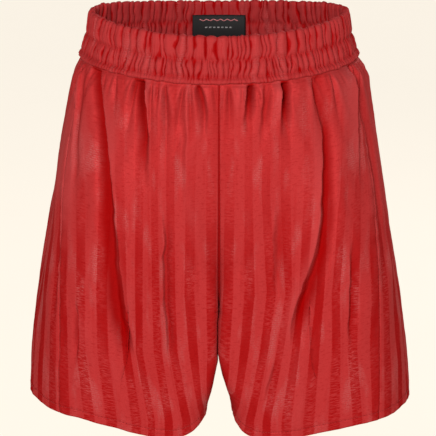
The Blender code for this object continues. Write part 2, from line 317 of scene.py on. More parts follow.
def fold_profile(distance, width, ridge):
    """A valley at 0 with a steep wall up to a sharp ridge at -width, and a slow slope beyond."""
    s = distance / width
    slope = -np.exp(-((s / 1.35) ** 2))
    wall = -1 + (1 + ridge) * np.clip(-s, 0, 1) ** 1.35
    inner = ridge * np.exp(-np.maximum(-s - 1, 0) / 2.0)
    return np.where(s > 0, slope, np.where(s > -1, wall, inner))


class Half:
    """One half of the garment as a grid: rows from the waist down, and columns from the
    centre front round the leg to the centre back.  Column FRONT_COLUMNS is the side seam."""

    def __init__(self, side, hem, front_folds, back_folds, front_stripes, back_stripes, seed):
        self.side = side
        self.lay_grid(curve_through(hem))
        self.height = np.zeros_like(self.z)
        for fold in front_folds:
            self.add_fold(*fold, behind=False)
        for fold in back_folds:
            self.add_fold(*fold, behind=True)
        self.height += self.fullness()
        self.add_gathers(seed)
        self.add_relief(seed + 2)
        self.add_seams(seed + 3)
        self.place()
        # Painted shade: fold valleys and seam grooves are painted a deeper red by their depth, and
        # raised ridges get a painted highlight.
        self.painted_fold_shading = np.clip(-self.height / FOLD_SHADE_DEPTH + 0.8 * self.seam_line, -0.5, 1.0)
        self.stripe_front = self.stripes_over(front_stripes, False)
        self.stripe_back = self.stripes_over(back_stripes, True) + 0.35

    def lay_grid(self, hem_height):
        # Each panel's columns run from 0 at its inner seam to 1 at the wall's edge, and then to 2
        # at the side seam.
        wall = np.linspace(0, 1, INNER_COLUMNS, endpoint=False)
        across = np.concatenate([
            wall,
            np.linspace(1, 2, FRONT_COLUMNS + 1 - INNER_COLUMNS),
            np.linspace(2, 1, BACK_COLUMNS + 1 - INNER_COLUMNS)[1:],
            wall[::-1],
        ])
        front = np.arange(len(across)) <= FRONT_COLUMNS
        on_wall = np.minimum(across, 1)
        outside = np.maximum(across - 1, 0)
        down = LEVELS[:, None]
        top = -PANEL_TOP
        z = top + (HEM_LOWEST_Z - top) * down + 0 * across
        for _ in range(24):
            centre = bearing(centre_angle(z), z)
            seam = bearing(np.radians(side_seam_angle(z)), z)
            edge = np.maximum(bearing_at(leg_gap(z) + INNER_EDGE, z), centre + 0.005)
            ahead = centre + (edge - centre) * on_wall + (seam - edge) * outside
            far_seam = 2 * np.pi - seam
            behind = 2 * np.pi - centre - (edge - centre) * on_wall - (far_seam - edge) * outside
            way = np.clip(np.where(front, ahead, behind), 0, 2 * np.pi - 1e-9)
            alpha = bearing(way, z, back_again=True)
            point = hull_point(alpha, z)
            # The waist dips at the front and the back.
            high = top - SADDLE * np.minimum(1.0, np.abs(point[..., 1]) / WAIST_HALF_DEPTH) ** 2
            low = hem_height(np.abs(point[..., 0]))
            z += 0.5 * (high + (low - high) * down - z)
        self.down = down
        self.hull = hull_point(alpha, z)
        self.z = z
        self.around = run_along(self.hull, axis=1)
        self.whole = self.around[:, -1:]
        self.to_edge = np.minimum(self.around, self.whole - self.around)
        self.seam = self.around[:, FRONT_COLUMNS : FRONT_COLUMNS + 1]
        self.below = run_along(self.hull)
        self.above_hem = self.below[-1:] - self.below
        self.normal = unit(cross_of(self.hull))

    def arc_of(self, path, behind):
        """(arc from the centre front, height) in each row of a path of (x, z) points, whose x is
        the distance from the middle."""
        places, heights = np.array(path)[::-1].T
        found = np.zeros(ROWS)
        middle = FRONT_COLUMNS + BACK_COLUMNS // 2 if behind else FRONT_COLUMNS // 2
        z = self.z[:, middle].copy()
        for j in range(ROWS):
            widest = int(np.argmax(self.hull[j, :, 0]))
            side = slice(None, widest - 1, -1) if behind else slice(0, widest + 1)
            x = self.hull[j, side, 0]
            for _ in range(4):
                place = np.interp(z[j], heights, places)
                z[j] = np.interp(place, x, self.z[j, side])
            found[j] = np.interp(place, x, self.around[j, side])
        return found, z

    def add_fold(self, path, depth, width, ridge, top_weight, rise, fall, behind):
        centre, z = self.arc_of(path, behind)
        # A fold wanders a millimetre or so to either side.
        seed = int(10000 * abs(path[0][0])) + behind
        wander = noise(z, 0 * z, 0.021, 1.0, seed) + 0.5 * noise(z, 0 * z, 0.009, 1.0, seed + 1)
        centre = centre + 0.0013 * wander
        top, bottom = path[0][1], path[-1][1]
        weight = top_weight + (1 - top_weight) * smooth((top - z) / rise)
        weight = weight * smooth((z - bottom) / fall)
        # Under the waist it is pinched deeper.
        weight *= 1 + 0.7 * top_weight * bell(z - top, 0.035)
        outwards = -1 if behind else 1
        profile = fold_profile(outwards * (self.around - centre[:, None]), width, ridge)
        self.height += depth * weight[:, None] * profile

    def fullness(self):
        """Cloth billows at the side of the hip, more on the wearer's right."""
        share = np.exp(-(((self.z + 0.13) / 0.07) ** 2) - ((self.around - self.seam) / 0.06) ** 2)
        return 0.0055 * share * (1.0 if self.side < 0 else 0.2)

    def add_gathers(self, seed):
        """Short creases that run down out of the waist seam and die away."""
        rng = np.random.default_rng(seed)
        drop = self.below.mean(axis=1) - (WAISTBAND_HEIGHT - PANEL_TOP)
        spread = self.whole[:, 0] / self.whole[0, 0]
        count = 50
        for i in range(count):
            start = (i + rng.uniform(0.1, 0.9)) / count * self.whole[0, 0]
            # A few creases are strong.  Weak ones are shorter, narrower and more slanted.
            strength = rng.uniform(0, 1) ** 2.0
            reach = 0.018 + 0.085 * strength * rng.uniform(0.5, 1.3)
            slant = rng.normal(0, 0.06 + 0.24 * (1 - strength) ** 2)
            centre = start * spread + slant * np.maximum(drop, 0)
            t = np.clip(drop / reach, 0, 1)
            weight = (0.6 + 0.4 * smooth(drop / 0.008)) * (1 - t) ** 1.2
            depth = 0.0012 + 0.005 * strength
            width = 0.0012 + (0.02 + 0.05 * strength) * np.clip(drop, 0, reach)
            d = (self.around - centre[:, None]) / width[:, None]
            crease = np.exp(-np.abs(d) ** 1.3) - 0.3 * np.exp(-(((np.abs(d) - 2.3) / 1.2) ** 2))
            self.height -= depth * weight[:, None] * crease

    def add_relief(self, seed):
        """Undulations that cloth keeps between its folds, long ones along the drop, and calm
        beside the centre seams and the inseam."""
        u, v = self.around - self.seam, self.below
        relief = 0 * u
        for size, lean, wide, long, extra in (
            (0.002, 0.0, 0.034, 0.15, 0),
            (0.0012, 0.25, 0.016, 0.07, 10),
            (0.0003, -0.2, 0.007, 0.028, 20),
            (0.00012, 0.0, 0.0035, 0.0045, 30),
        ):
            relief += size * noise(u + lean * v, v, wide, long, seed + extra)
        self.height += relief * smooth(self.to_edge / 0.03)

    def add_seams(self, seed):
        """Cloth draws in along each seam, and puckers beside it and along the hem."""
        for k, line in enumerate((0 * self.seam, self.seam, self.whole)):
            d = np.abs(self.around - line)
            pucker = noise(self.below, 0 * self.below, 0.0075, 1.0, seed + k)
            pucker += 0.6 * noise(self.below, 0 * self.below, 0.0035, 1.0, seed + 5 + k)
            self.height += 0.0005 * pucker * bell(d, 0.008) * (d > 1e-6)
            self.height -= 0.0005 * bell(d, 0.0012)
        # The hem's stitches sink in, and the cloth below them ropes.
        hem = self.above_hem
        rope = noise(self.around + 0.7 * hem, hem, 0.0065, 0.02, seed + 9)
        self.height -= 0.0005 * bell(hem - STITCH_ABOVE_HEM, 0.0011)
        self.height += 0.0005 * rope * bell(hem - 0.005, 0.006)

    def place(self):
        """Lay the height over the hull, on this half's own side of the middle."""
        # The cloth starts flat, down to this far below its top, where it leaves the casing's foot.
        # From there its creases open at once, and its swells more slowly.
        hidden = 0.003
        tuck = smooth((self.below - hidden) / 0.0035)
        rise = smooth((self.below - hidden) / 0.013)
        height = np.minimum(self.height, 0) * tuck + np.maximum(self.height, 0) * rise
        height -= 0.0012 * (1 - tuck)
        # The waist draws it in at the sides.
        sideways = (self.hull[..., 0] / half_width(self.z)) ** 2
        height -= 0.0034 * sideways * (1 - smooth(self.below / 0.028))
        # Both sides of a centre seam or an inseam meet on one line, in a groove.
        self.seam_line = bell(self.to_edge, 0.0009)
        joined = 1 - smooth(self.to_edge / 0.007)
        height += (-0.0006 - 0.0011 * self.seam_line - height) * joined
        point = self.hull + self.normal * height[..., None]
        # No point crosses the middle, and above the crotch the seams lie on it.
        at_seam = self.z > CROTCH_Z
        nearest = 0.00002
        point[..., 0] = np.maximum(point[..., 0], np.where(at_seam, nearest, 0.0003))
        for column in (0, -1):
            point[at_seam[:, 0], column, 0] = nearest
        # The legs' inner sides lie against each other in a shallow wave.
        wave = 0.002 * np.sin(3 * np.pi * self.hull[..., 1] / half_depth(self.z))
        wave *= smooth((CROTCH_Z - self.z) / 0.012) * smooth((self.z + 0.34) / 0.014)
        wave *= bell(point[..., 0], 0.015)
        point[..., 0] += wave * self.side
        self.point = point * np.array([self.side, 1, 1])
        self.facing = unit(cross_of(self.point)) * self.side

    def stripes_over(self, stripes, behind):
        """How many stripes each point is across from the middle, dark at whole numbers."""
        lines = np.stack([
            self.arc_of([(x / 1000, z) for x, z in zip(places, STRIPE_HEIGHTS)], behind)[0]
            for places in stripes
        ])
        index = np.arange(len(stripes), dtype=float)
        # The side seam is cut along the stripes, so it's one more line that they follow.
        apart = np.abs(self.seam[:, 0] - lines[-1])
        last = index[-1] + float(apart[ROWS // 2 :].mean()) / STRIPE_PERIOD
        lines = np.concatenate([lines, self.seam.T])
        index = np.append(index, last)
        if behind:
            lines, index = lines[::-1], index[::-1]
        across = np.zeros_like(self.around)
        step = np.sign(index[1] - index[0])
        for j in range(ROWS):
            known = np.maximum.accumulate(lines[:, j] + 1e-5 * np.arange(len(index)))
            inside = np.interp(self.around[j], known, index)
            past = self.around[j] - np.clip(self.around[j], known[0], known[-1])
            across[j] = inside + step * past / STRIPE_PERIOD
        return across


# -------- meshes
def mesh_object(name, points, faces, materials, uv=None):
    """A smooth mesh from arrays.  uv holds one pair for each point."""
    mesh = bpy.data.meshes.new(name)
    mesh.vertices.add(len(points))
    mesh.vertices.foreach_set("co", np.asarray(points, np.float32).ravel())
    faces = np.asarray(faces, np.int32)
    mesh.loops.add(faces.size)
    mesh.loops.foreach_set("vertex_index", faces.ravel())
    mesh.polygons.add(len(faces))
    starts = np.arange(0, faces.size, faces.shape[1], dtype=np.int32)
    mesh.polygons.foreach_set("loop_start", starts)
    mesh.update(calc_edges=True)
    if uv is not None:
        layer = mesh.uv_layers.new(name="cloth")
        layer.data.foreach_set("uv", np.asarray(uv, np.float32)[faces.ravel()].ravel())
    for material in materials:
        mesh.materials.append(material)
    mesh.shade_smooth()
    made = bpy.data.objects.new(name, mesh)
    bpy.context.scene.collection.objects.link(made)
    return made


def grid_faces(rows, columns, closed=False, flip=False):
    i = np.arange(rows - 1)[:, None]
    j = np.arange(columns if closed else columns - 1)[None, :]
    after = (j + 1) % columns
    quads = np.stack([
        i * columns + j,
        i * columns + after,
        (i + 1) * columns + after,
        (i + 1) * columns + j,
    ], -1).reshape(-1, 4)
    return quads[:, ::-1] if flip else quads


def thicken(made, thickness, offset):
    solid = made.modifiers.new("Thickness", "SOLIDIFY")
    solid.thickness = thickness
    solid.offset = offset
    return solid


def cloth_object(name, grid, uv, materials, thickness=CLOTH, closed=False, flip=False, offset=-1):
    """A sheet of cloth over a grid of points.  Its second material is its wrong side."""
    rows, columns = grid.shape[:2]
    faces = grid_faces(rows, columns, closed, flip)
    made = mesh_object(name, grid.reshape(-1, 3), faces, materials, uv.reshape(-1, 2))
    solid = thicken(made, thickness, offset)
    solid.use_even_offset = False
    solid.material_offset = len(materials) - 1
    return made


THREAD_RADIUS = 0.00024
# A stitch's rings: (share of a stitch from its middle, radii above the line, share of the radius).
STITCH_RINGS = (
    (-0.42, -0.8, 0.5), (-0.3, 0.5, 1.0), (0.0, 0.9, 1.0), (0.3, 0.5, 1.0), (0.42, -0.8, 0.5),
)


def stitches(name, line, normals, material):
    """A row of stitches along a dense line: each rises out of the cloth and dives back."""
    along = run_along(line)
    count = int(along[-1] / STITCH_LENGTH)
    sides = 5
    turn = 2 * np.pi * np.arange(sides) / sides
    cos, sin = np.cos(turn)[None, :, None], np.sin(turn)[None, :, None]
    centres = (np.arange(count) + 0.5) * along[-1] / count

    def sample(values, at):
        return np.stack([np.interp(at, along, values[:, k]) for k in range(3)], -1)

    rings = []
    for shift, lift, size in STITCH_RINGS:
        at = centres + shift * STITCH_LENGTH
        normal = unit(sample(normals, at))
        way = unit(sample(line, at + 1e-4) - sample(line, at - 1e-4))
        across = unit(np.cross(way, normal))
        middle = sample(line, at) + normal * (lift * THREAD_RADIUS)
        ring = across[:, None] * cos + normal[:, None] * sin
        rings.append(middle[:, None] + THREAD_RADIUS * size * ring)
    points = np.stack(rings, axis=1)  # stitch, ring, side
    ring_faces = grid_faces(len(rings), sides, closed=True)
    start = np.arange(count)[:, None, None] * len(rings) * sides
    quads = (ring_faces[None] + start).reshape(-1, 4)
    return mesh_object(name, points.reshape(-1, 3), quads, [material])


# -------- materials
class Nodes:
    """Short ways to add and join shader nodes."""

    def __init__(self, owner):
        self.tree = owner.node_tree
        self.shader = self.tree.nodes.get("Principled BSDF")

    def add(self, kind, inputs=(), **settings):
        node = self.tree.nodes.new("ShaderNode" + kind)
        for key, value in settings.items():
            setattr(node, key, value)
        self.feed_all(node, inputs)
        return node

    def feed_all(self, node, inputs):
        for key, value in dict(inputs).items():
            self.feed(node.inputs[key], value)

    def feed(self, socket, value):
        if isinstance(value, bpy.types.NodeSocket):
            self.tree.links.new(value, socket)
        else:
            socket.default_value = value

    def math(self, operation, *values):
        return self.add("Math", enumerate(values), operation=operation).outputs[0]

    def mix(self, factor, a, b):
        return self.add("Mix", {0: factor, 6: a, 7: b}, data_type="RGBA").outputs[2]

    def ramp(self, value, low, high, to_low=0, to_high=1):
        node = self.add("MapRange", {0: value, 1: low, 2: high, 3: to_low, 4: to_high})
        node.interpolation_type = "SMOOTHSTEP"
        return node.outputs[0]

    def noise(self, place, scale, detail=2.0):
        """Noise with so many bumps in a metre along each axis of the place."""
        scaled = self.add("Mapping", {"Vector": place, "Scale": scale}).outputs[0]
        node = self.add("TexNoise", {"Vector": scaled, "Scale": 1.0, "Detail": detail})
        return node.outputs["Fac"]

    def product(self, *values):
        """Two values or more, multiplied."""
        whole = values[0]
        for value in values[1:]:
            whole = self.math("MULTIPLY", whole, value)
        return whole

    def surface(self, colour, relief, strength, depth, rough, gleam):
        """Feed the shader its colour, roughness and specular level, and a bump of that relief."""
        bump = self.add("Bump", {"Height": relief, "Strength": strength, "Distance": depth})
        self.feed_all(self.shader, {
            "Base Color": colour, "Normal": bump.outputs[0], "Roughness": rough,
            "Specular IOR Level": gleam,
        })


def new_material(name):
    made = bpy.data.materials.new(name)
    made.use_nodes = True
    return made, Nodes(made)


LIGHT_STRIPE = (0.332, 0.024, 0.025, 1)
DARK_STRIPE = (0.266, 0.0058, 0.0062, 1)
# Painted shade for the depths of folds and creases, and a painted highlight for ridges and puffs.
PAINTED_FOLD_SHADE = (0.262, 0.0008, 0.0009, 1)
PAINTED_RIDGE_HIGHLIGHT = (0.352, 0.044, 0.046, 1)
# A painted sheen.
PAINTED_SHEEN = (0.352, 0.079, 0.08, 1)
SLUB = (0.19, 0.0016, 0.0022, 1)
WRONG_SIDE = (0.27, 0.005, 0.006, 1)


def satin(name, stripes=1, right_side=True, painted_sheen_amount=1):
    """Polyester satin with a shadow stripe: shiny light bands, and dull dark bands with a
    crosswise slub.  The UV holds stripes across and metres down."""
    material, n = new_material(name)
    uv = n.add("UVMap", uv_map="cloth").outputs[0]
    across, down, _ = n.add("SeparateXYZ", {0: uv}).outputs
    metres = n.add("CombineXYZ", {0: n.product(across, STRIPE_PERIOD), 1: down}).outputs[0]
    # Each edge of the stripe wavers by up to a millimetre.
    waver = n.math("SUBTRACT", n.noise(metres, (200, 700, 1)), 0.5)
    wavy = n.math("ADD", across, n.product(waver, 0.12))
    in_period = n.math("FRACT", n.math("ADD", wavy, 0.5))
    from_middle = n.math("ABSOLUTE", n.math("SUBTRACT", in_period, 0.5))
    stripe = n.ramp(from_middle, 0.2, 0.26, 1, 0)
    # Crosswise slubs break up the dark stripe in places.
    crepe = n.noise(metres, (140, 900, 1), 3)
    patch = n.ramp(n.noise(metres, (22, 14, 1)), 0.38, 0.6)
    broken = n.math("SUBTRACT", 1, n.product(patch, n.ramp(crepe, 0.42, 0.6, 0, 0.85)))
    bold = n.add("Attribute", attribute_name="bold").outputs["Fac"]
    dark = n.product(n.product(stripe, broken), n.product(bold, stripes))
    slub = n.noise(metres, (170, 760, 1), 4)
    yarn = n.noise(metres, (500, 3200, 1))
    streak = n.noise(metres, (130, 8, 1), 3)
    colour = n.mix(dark, LIGHT_STRIPE if right_side else WRONG_SIDE, DARK_STRIPE)
    # Painted sheen: greyish clouds of painted highlight lie on the light stripes, in fine
    # crosswise ribs.
    cloud = n.noise(metres, (58, 17, 1))
    rib = n.math("SINE", n.product(down, 2900))
    lustre = n.ramp(rib, -1, 0.6, 0.3 * painted_sheen_amount, 0.62 * painted_sheen_amount)
    grain = n.noise(metres, (620, 900, 1), 3)
    lustre = n.product(lustre, n.ramp(grain, 0.38, 0.62, 0.35, 1.45))
    painted_sheen_mask = n.product(n.ramp(cloud, 0.5, 0.72), lustre)
    colour = n.mix(n.product(painted_sheen_mask, n.ramp(dark, 0, 0.7, 1, 0.2)), colour, PAINTED_SHEEN)
    painted_fold_shading = n.add("Attribute", attribute_name="painted_fold_shading").outputs["Fac"]
    for mask, low, high, most, tint in (
        (streak, 0.5, 0.74, 0.34, DARK_STRIPE),
        (slub, 0.5, 0.76, 0.5, SLUB),
        (yarn, 0.45, 0.8, 0.25, SLUB),
        # Painted shade deepens the folds and creases, and a painted highlight lightens the ridges.
        (painted_fold_shading, 0.05, 0.95, 0.85, PAINTED_FOLD_SHADE),
        (painted_fold_shading, -0.1, -0.5, 0.55, PAINTED_RIDGE_HIGHLIGHT),
    ):
        colour = n.mix(n.ramp(mask, low, high, 0, most), colour, tint)
    dull = n.math("MAXIMUM", dark, n.ramp(painted_fold_shading, 0.1, 0.8))
    rough = n.ramp(dull, 0, 1, 0.46 if right_side else 0.6, 0.86)
    rough = n.math("ADD", rough, n.ramp(slub, 0.3, 0.8, -0.05, 0.08))
    weave = n.math("SINE", n.product(down, 9000))
    relief = n.math("ADD", n.product(yarn, 0.5), n.product(weave, 0.08))
    relief = n.math("ADD", n.math("ADD", slub, relief), n.product(crepe, stripe, 0.8))
    n.surface(colour, relief, 0.5, 0.0003, rough, 0)
    n.shader.inputs["Metallic"].default_value = 0.12
    return material


def thread_material(name, colour):
    material, n = new_material(name)
    place = n.add("TexCoord").outputs["Object"]
    twist = n.noise(place, (2500, 2500, 2500))
    darker = tuple(0.5 * c for c in colour[:3]) + (1,)
    n.surface(n.mix(n.ramp(twist, 0.35, 0.7), colour, darker), twist, 0.5, 0.0002, 0.6, 0.2)
    return material


def elastic_material():
    material, n = new_material("knitted_elastic")
    uv = n.add("UVMap", uv_map="cloth").outputs[0]
    around, down, _ = n.add("SeparateXYZ", {0: uv}).outputs
    ribs = n.math("SINE", n.product(down, 4200))
    knit = n.math("SINE", n.product(around, 5200))
    both = n.math("ADD", ribs, n.product(knit, 0.6))
    colour = n.mix(n.ramp(both, -1.4, 1.4), (0.55, 0.53, 0.49, 1), (0.8, 0.78, 0.73, 1))
    n.surface(colour, both, 0.6, 0.0003, 0.8, 0.5)
    return material


def label_material():
    material, n = new_material("label_satin")
    place = n.add("TexCoord").outputs["Object"]
    weft = n.noise(place, (900, 200, 4200))
    colour = n.mix(weft, (0.003, 0.003, 0.0035, 1), (0.01, 0.01, 0.011, 1))
    n.surface(colour, weft, 0.3, 0.0001, 0.55, 0.15)
    return material


SATIN_FACE = satin("satin_face")
SATIN_BACK = satin("satin_wrong_side", stripes=0.35, right_side=False)
BAND_FACE = satin("satin_band", stripes=0.35, painted_sheen_amount=0.25)
THREAD_RED = thread_material("thread_red", (0.34, 0.016, 0.017, 1.0))
OVERLOCK = thread_material("overlock_red", (0.28, 0.006, 0.007, 1.0))
ELASTIC = elastic_material()
LABEL_BLACK = label_material()
MARK_GREY = thread_material("mark_grey", (0.3, 0.3, 0.31, 1.0))
MARK_ROSE = thread_material("mark_rose", (0.55, 0.2, 0.21, 1.0))


# -------- setting pieces in place, and marking their cloth
def pull_with_waist(piece, slot, *nodes):
    """Bake the piece's place into its mesh, and hide these nodes of the part, which it stands for.
    """
    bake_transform(piece)
    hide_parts(*nodes)


def mark_cloth(piece, bold, painted_fold_shading):
    """How strongly the stripe shows at each point, and its painted shade in folds and painted
    highlight on ridges.
    """
    for name, values in (("bold", bold), ("painted_fold_shading", painted_fold_shading)):
        layer = piece.data.attributes.new(name, "FLOAT", "POINT")
        layer.data.foreach_set("value", np.asarray(values, np.float32).ravel())


# -------- panels
HALVES = {
    "left": Half(1, LEFT_HEM, LEFT_FRONT_FOLDS, LEFT_BACK_FOLDS, LEFT_STRIPES, RIGHT_STRIPES, 11),
    "right": Half(
        -1, RIGHT_HEM, RIGHT_FRONT_FOLDS, RIGHT_BACK_FOLDS, RIGHT_STRIPES, LEFT_STRIPES, 47
    ),
}


def panel(word, half, front):
    name = f"{word}_{'front' if front else 'back'}_panel"
    columns = slice(0, FRONT_COLUMNS + 1) if front else slice(FRONT_COLUMNS, None)
    grid = half.point[:, columns]
    stripes = (half.stripe_front if front else half.stripe_back)[:, columns]
    uv = np.stack([stripes, half.below[:, columns]], -1)
    piece = cloth_object(name, grid, uv, [SATIN_FACE, SATIN_BACK], flip=half.side > 0)
    # The stripe is faint under the waist, where the cloth is gathered, and clear below; the fade
    # is partly painted light, for the sheen that evens the stripes out there.
    bold = 0.3 + 0.7 * smooth((-0.12 - half.z[:, columns]) / 0.16)
    mark_cloth(piece, bold, half.painted_fold_shading[:, columns])
    pull_with_waist(piece, "satin", name)


for word, half in HALVES.items():
    panel(word, half, True)
    panel(word, half, False)


# -------- waistband
def band_frame(theta, drop):
    """(point on the cloth's outline, its outward normal) of the band."""
    a, b = half_width(-drop), half_depth(-drop)
    normal = unit(np.stack([np.cos(theta) / a, np.sin(theta) / b, 0 * theta], -1))
    height = -drop - SADDLE * np.sin(theta) ** 2
    return np.stack([a * np.cos(theta), b * np.sin(theta), height], -1), normal


def casing_middle(theta, drop):
    """How far the middle of the casing lies out from the outline.  Its two sides lie further in,
    and most of all at the top."""
    drawn_in = 0.0024 - 0.0006 * smooth(drop / 0.04)
    drawn_in = drawn_in + 0.0026 * (1 - 0.45 * smooth((drop - 0.03) / 0.014))
    return CASING_MIDDLE - np.cos(theta) ** 2 * drawn_in


def ruche(around, down, whole, mean, seed):
    """Gathered cloth round a loop, as cells with rounded tops and sharp creases: the height,
    from 0 to 1, and how near each point is to the middle of its cell, from 0 to 1."""
    rng = np.random.default_rng(seed)
    count = int(whole / mean)
    gaps = rng.uniform(0.35, 2.0, count)
    starts = np.append(0, np.cumsum(gaps))
    starts = starts / starts[-1] * whole
    strength = rng.uniform(0.45, 1.0, count) * (0.55 + 0.45 * np.minimum(gaps, 1))
    shifted = around + 0.002 * noise(around, down, 0.011, 0.012, seed + 100)
    shifted += 0.0009 * noise(around, down, 0.005, 0.006, seed + 101)
    shifted %= whole
    cell = np.clip(np.searchsorted(starts, shifted, side="right") - 1, 0, count - 1)
    t = (shifted - starts[cell]) / (starts[cell + 1] - starts[cell])
    dome = np.sin(np.pi * np.clip(t, 0, 1)) ** 0.6
    return strength[cell] * dome, dome


def casing():
    """The folded, gathered casing: up the outside, over the top and down the inside."""
    theta = np.linspace(0, 2 * np.pi, RUCHE_COLUMNS, endpoint=False)
    spots = np.stack([WAIST_HALF_WIDTH * np.cos(theta), WAIST_HALF_DEPTH * np.sin(theta)], -1)
    arc = np.cumsum(length_of(spots - np.roll(spots, 1, axis=0)))
    whole = float(arc[-1])
    shoulder = 0.0026  # drop at which the section starts to turn over the top
    outside = np.linspace(CASING_FOOT, shoulder, 31)
    turn = np.linspace(0, np.pi, 7)[1:-1]
    inside = np.linspace(shoulder, CASING_FOOT, 26)
    # One row of points for each: its drop, its wall from +1 outside to -1 inside, and its level.
    drop = np.concatenate([outside, shoulder * (1 - np.sin(turn)), inside])[:, None]
    share = np.concatenate([0 * outside + 1, np.cos(turn), 0 * inside - 1])[:, None]
    level = np.concatenate([outside, 0 * turn + shoulder, inside])[:, None]
    near_row = bell(level - UPPER_ROW, 0.003) + bell(level - LOWER_ROW, 0.003)
    foot = smooth((CASING_FOOT + 0.0004 - level) / 0.0034)
    half = (0.0013 - 0.0006 * near_row) * (0.2 + 0.8 * foot)
    # Between the rows the casing swells like a tube over each elastic, and its foot like a cord.
    rows = np.array([0.0, UPPER_ROW, LOWER_ROW, CASING_FOOT])
    tube = np.clip(np.searchsorted(rows, level, side="right") - 1, 0, 2)
    along = np.clip((level - rows[tube]) / (rows[tube + 1] - rows[tube]), 0, 1)
    swell = np.array([0.0008, 0.0009, 0.0016])[tube] * np.sin(np.pi * along) ** 0.7
    swell = swell * (share > 0)
    around = arc + 0 * level
    down = level + 0.2 * (share < 0) + 0 * arc
    upper, upper_dome = ruche(around, down, whole, 0.0074, 3)
    lower, lower_dome = ruche(around, down + 0.07, whole, 0.006, 4)
    fine, fine_dome = ruche(around, down, whole, 0.0031, 5)
    mix = smooth((level - UPPER_ROW) / 0.004 + 0.5)
    relief = upper * (1 - mix) + lower * mix
    cord = smooth((level - LOWER_ROW) / 0.0015) * (share > 0)
    relief = relief * (1 - cord) + cord * (0.55 + 0.25 * fine)
    dome = (upper_dome * (1 - mix) + lower_dome * mix) * (1 - cord) + cord * (0.6 + 0.4 * fine)
    tall = (0.004 - 0.0018 * near_row) * (0.3 + 0.7 * foot)
    height = tall * relief + 0.001 * fine * (0.4 + near_row) - 0.0012
    # At the two sides the tubes lie flatter.
    height += swell * (1 - 0.75 * np.cos(theta) ** 8)
    # Cloth lies flat where the label is sewn on, and is drawn in at the two side seams.
    behind_label = np.exp(-(((theta - np.pi / 2) / 0.235) ** 8))
    height *= 1 - 0.85 * behind_label * (share < 0.5)
    height -= 0.0008 * bell(np.sin(theta), 0.01)
    # The edge of its foot isn't straight.
    at_foot = level > CASING_FOOT - 0.0015
    scallop = 0.0007 * noise(around, 0 * around, 0.0052, 1.0, 8) * at_foot
    point, normal = band_frame(theta + 0 * around, drop + scallop)
    middle = casing_middle(theta, drop)
    grid = point + normal * (middle + share * (half + height))[..., None]
    grid[..., 2] += 0.7 * np.sqrt(1 - np.minimum(share**2, 1)) * height
    steps = np.hypot(np.diff(drop, axis=0), 0.0015 * np.diff(share, axis=0))
    run = np.concatenate([[[0.0]], np.cumsum(steps, axis=0)])
    # The casing is cut a third longer than the waist that it is gathered to.
    uv = np.stack([around * 1.33 / STRIPE_PERIOD, run + 0 * around], -1)
    # Painted shade in the creases: some get a thin dark line, others a wider, darker one for part
    # of their length; the cells' tops get a painted highlight.
    crease_shade_width = np.clip(0.42 + 0.95 * noise(around, down, 0.008, 0.0075, 12), 0, 1)
    crease = 1 - smooth(dome / (0.46 + 0.44 * crease_shade_width))
    painted_fold_shading = (0.55 + 1.45 * crease_shade_width) * crease - 0.45 + 0.1 * near_row
    # More painted shade between the fine puckers, in patches and near the stitch rows.
    pucker_shade = np.clip(noise(around, down, 0.009, 0.006, 13) + 0.4 * near_row, 0, 1)
    painted_fold_shading += 0.3 * (1 - fine_dome) * pucker_shade
    return grid, uv, painted_fold_shading


def build_casing():
    grid, uv, painted_fold_shading = casing()
    half = RUCHE_COLUMNS // 2
    for name, picked in (
        ("waistband_back", np.arange(0, half + 1)),
        ("waistband_front", np.arange(half, RUCHE_COLUMNS + 1) % RUCHE_COLUMNS),
    ):
        part_uv = uv[:, picked]
        if name == "waistband_front":
            part_uv[:, -1, 0] = 2 * part_uv[:, -2, 0] - part_uv[:, -3, 0]
        faces = [BAND_FACE, SATIN_BACK]
        piece = cloth_object(name, grid[:, picked], part_uv, faces, thickness=0.0004, flip=True)
        mark_cloth(piece, np.ones(painted_fold_shading[:, picked].shape), painted_fold_shading[:, picked])
        pull_with_waist(piece, "satin", name)


build_casing()


def waist_ring(theta, drop, out):
    """A line round the waist, out from the middle of the casing."""
    point, normal = band_frame(theta, np.full_like(theta, drop))
    return point + normal * (casing_middle(theta, drop) + out)[:, None], normal


def build_elastic(name, drop, width):
    theta = np.linspace(0, 2 * np.pi, 240, endpoint=False)
    levels = np.linspace(drop - width / 2, drop + width / 2, 7)
    grid = np.stack([waist_ring(theta, level, 0.0)[0] for level in levels])
    uv = np.stack(np.meshgrid(theta * 0.118, levels), axis=-1)
    piece = cloth_object(name, grid, uv, [ELASTIC], 0.0009, closed=True, flip=True, offset=0)
    pull_with_waist(piece, "elastic", name)


build_elastic("upper_elastic", 0.0118, 0.015)
build_elastic("lower_elastic", 0.031, 0.012)


def build_waist_stitches(name, drop, out):
    theta = np.linspace(0, 2 * np.pi, 1200)
    line, normal = waist_ring(theta, drop, out)
    piece = stitches(name, line, normal, THREAD_RED)
    pull_with_waist(piece, "thread", name)


build_waist_stitches("upper_channel_stitch", UPPER_ROW, 0.0016)
build_waist_stitches("lower_channel_stitch", LOWER_ROW, 0.0016)
build_waist_stitches("waist_seam_stitch", WAIST_SEAM, 0.0002)


# -------- seams inside the garment
def build_fin(name, foot, inward, lean):
    """An overlocked allowance that stands in from a seam and folds over to one side."""
    shares = np.linspace(0, 1, 6)
    start = CLOTH + 0.0006
    grid = np.stack([
        foot + inward * (start + SEAM_ALLOWANCE * s) + lean * (0.003 * s * s) for s in shares
    ], axis=1)
    uv = np.stack(np.meshgrid(shares * SEAM_ALLOWANCE, run_along(foot)), axis=-1)
    piece = cloth_object(name, grid, uv, [OVERLOCK], thickness=0.0009, offset=0)
    pull_with_waist(piece, "thread", name)


